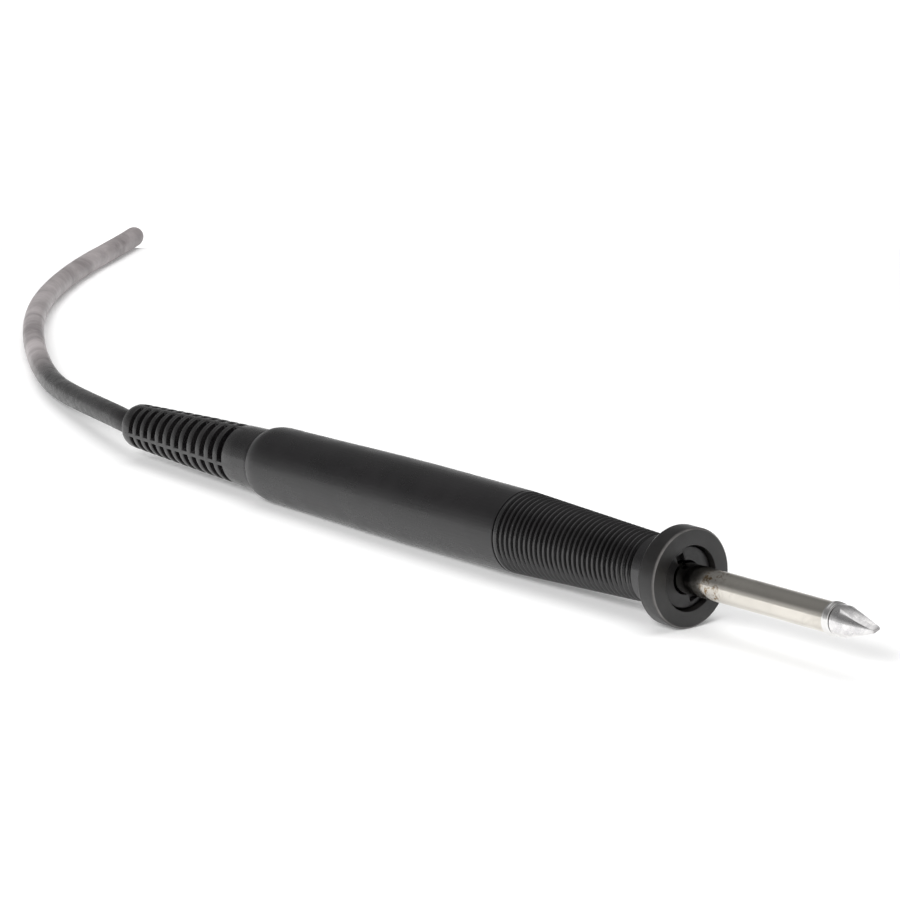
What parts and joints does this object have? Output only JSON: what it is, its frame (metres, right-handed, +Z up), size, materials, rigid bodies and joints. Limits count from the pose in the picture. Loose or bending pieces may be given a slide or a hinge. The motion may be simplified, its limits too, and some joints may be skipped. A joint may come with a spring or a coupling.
{
  "type": "wood burning pen",
  "caption": "Corded wood burning pen: chisel tip on a steel barrel, round hand guard, ribbed grip, slotted strain relief and a coiled lead with a round plug.",
  "frame": {"origin": "middle of the footprint of the pen itself, from the tip to the rear of the strain relief, on the surface it lies on; the lead, its coil and the plug are left out of that footprint", "axes": "+X along the pen towards the tip, +Z up, +Y to the left of someone looking along +X; the pen lies nose up by a little under one degree"},
  "size_m": [0.5508, 0.2085, 0.0211],
  "materials": {
    "tip_plate": "bright plated chisel",
    "polished_steel": "polished, slightly mottled",
    "nut_plastic": "satin black",
    "spring_steel": "bright",
    "ceramic": "unglazed off-white",
    "sensor_metal": "dull",
    "guard_plastic": "satin black with crisp edges",
    "grip_rubber": "matte black ribbed",
    "handle_plastic": "satin black",
    "relief_rubber": "satin black",
    "cord_rubber": "dark warm grey, semi-matte",
    "glass_sleeving": "woven glass sleeve",
    "board": "green laminate",
    "contact_brass": "bright",
    "clamp_plastic": "black moulding",
    "screw_steel": "zinc plated",
    "tie_nylon": "black nylon strap",
    "connector_metal": "satin nickel",
    "insert_plastic": "black moulding",
    "wire_red": "insulated wire",
    "wire_blue": "insulated wire",
    "wire_white": "insulated wire",
    "wire_black": "insulated wire",
    "wire_green": "insulated wire"
  },
  "bodies": {
    "handle": {"heater_core": "ceramic", "heater_base": "ceramic", "sensor_bead": "sensor_metal", "nose_flange": "guard_plastic", "grip_sleeve": "grip_rubber", "handle_shell": "handle_plastic", "heat_liner": "glass_sleeving", "terminal_board": "board", "clamp_upper": "clamp_plastic", "clamp_lower": "clamp_plastic", "clamp_screw_1": "screw_steel", "clamp_screw_2": "screw_steel", "strain_relief": "relief_rubber", "cord_stub": "cord_rubber", "conn_boot": "relief_rubber", "conn_back_nut": "connector_metal", "conn_shell": "connector_metal", "conn_insert": "insert_plastic", "cord": "cord_rubber", "cord_coil": "cord_rubber", "cord_tail": "cord_rubber", "cord_tie_1": "tie_nylon", "cord_tie_2": "tie_nylon", "terminal_1": "contact_brass", "heater_wire_1": "wire_red", "cord_wire_1": "wire_red", "conn_pin_1": "contact_brass", "terminal_2": "contact_brass", "heater_wire_2": "wire_blue", "cord_wire_2": "wire_blue", "conn_pin_2": "contact_brass", "terminal_3": "contact_brass", "heater_wire_3": "wire_white", "cord_wire_3": "wire_white", "conn_pin_3": "contact_brass", "terminal_4": "contact_brass", "heater_wire_4": "wire_black", "cord_wire_4": "wire_black", "conn_pin_4": "contact_brass", "terminal_5": "contact_brass", "heater_wire_5": "wire_green", "cord_wire_5": "wire_green", "conn_pin_5": "contact_brass"},
    "barrel": {"barrel_tube": "polished_steel", "wave_washer": "spring_steel"},
    "nut": {"retaining_nut": "nut_plastic"},
    "tip": {"tip": "tip_plate"},
    "coupling_ring": {"conn_ring": "connector_metal"}
  },
  "joints": [
    {"name": "barrel_draw", "type": "slide", "parent": "handle", "child": "barrel", "axis": [0.9999, 0, 0.0153], "range_m": [0, 0.003]},
    {"name": "nut_turn", "type": "hinge", "parent": "barrel", "child": "nut", "pos_m": [0.06469, 0, 0.01052], "axis": [0.9999, 0, 0.0153], "range_deg": [0, 1440]},
    {"name": "tip_pull", "type": "slide", "parent": "barrel", "child": "tip", "axis": [0.9999, 0, 0.0153], "range_m": [0, 0.022]},
    {"name": "ring_turn", "type": "hinge", "parent": "handle", "child": "coupling_ring", "pos_m": [-0.41903, 0.08611, 0.0099], "axis": [-0.1736, -0.9848, 0], "continuous": true}
  ],
  "couplings": [
    {"joint": "nut_turn", "follows": "barrel_draw", "rad_per_m": 8377.5}
  ]
}
